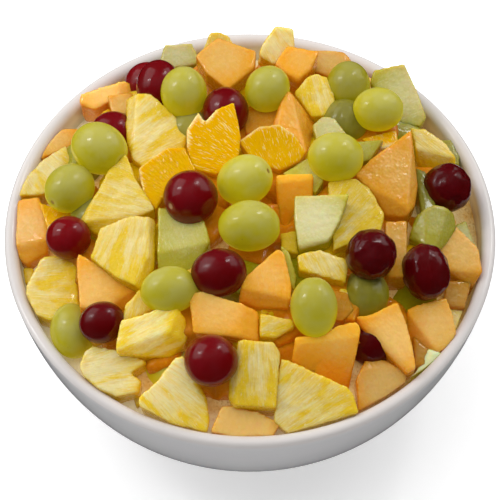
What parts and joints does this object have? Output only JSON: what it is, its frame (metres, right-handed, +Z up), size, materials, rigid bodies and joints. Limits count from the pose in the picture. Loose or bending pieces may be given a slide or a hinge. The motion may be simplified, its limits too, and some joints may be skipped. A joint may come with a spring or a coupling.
{
  "type": "fruit salad in a bowl",
  "caption": "Heaped fruit salad of melon and pineapple chunks, orange pieces and red and green grapes, in a round white glazed serving bowl with a plain foot ring.",
  "frame": {"origin": "centre of the bowl's foot ring, on the surface it stands on", "axes": "+Z up along the bowl's axis, -Y towards the side it is seen from, +X to the right from there"},
  "size_m": [0.22, 0.22, 0.1298],
  "materials": {
    "bowl_glaze": "smooth white glaze, soft gloss",
    "cantaloupe": "wet cut melon flesh, fine grain, paler towards the rind",
    "pineapple": "wet cut pineapple, fibrous, deeper yellow veins",
    "honeydew": "wet cut melon flesh, translucent, pale green",
    "orange": "juicy cut orange with pale membranes",
    "green_grape": "thin skinned, translucent, slight bloom",
    "red_grape": "dark red skin, soft gloss",
    "heap_core": "shaded fruit and juice deep in the heap"
  },
  "bodies": {
    "root": {"bowl": "bowl_glaze", "fruit_heap": "cantaloupe"}
  },
  "joints": []
}
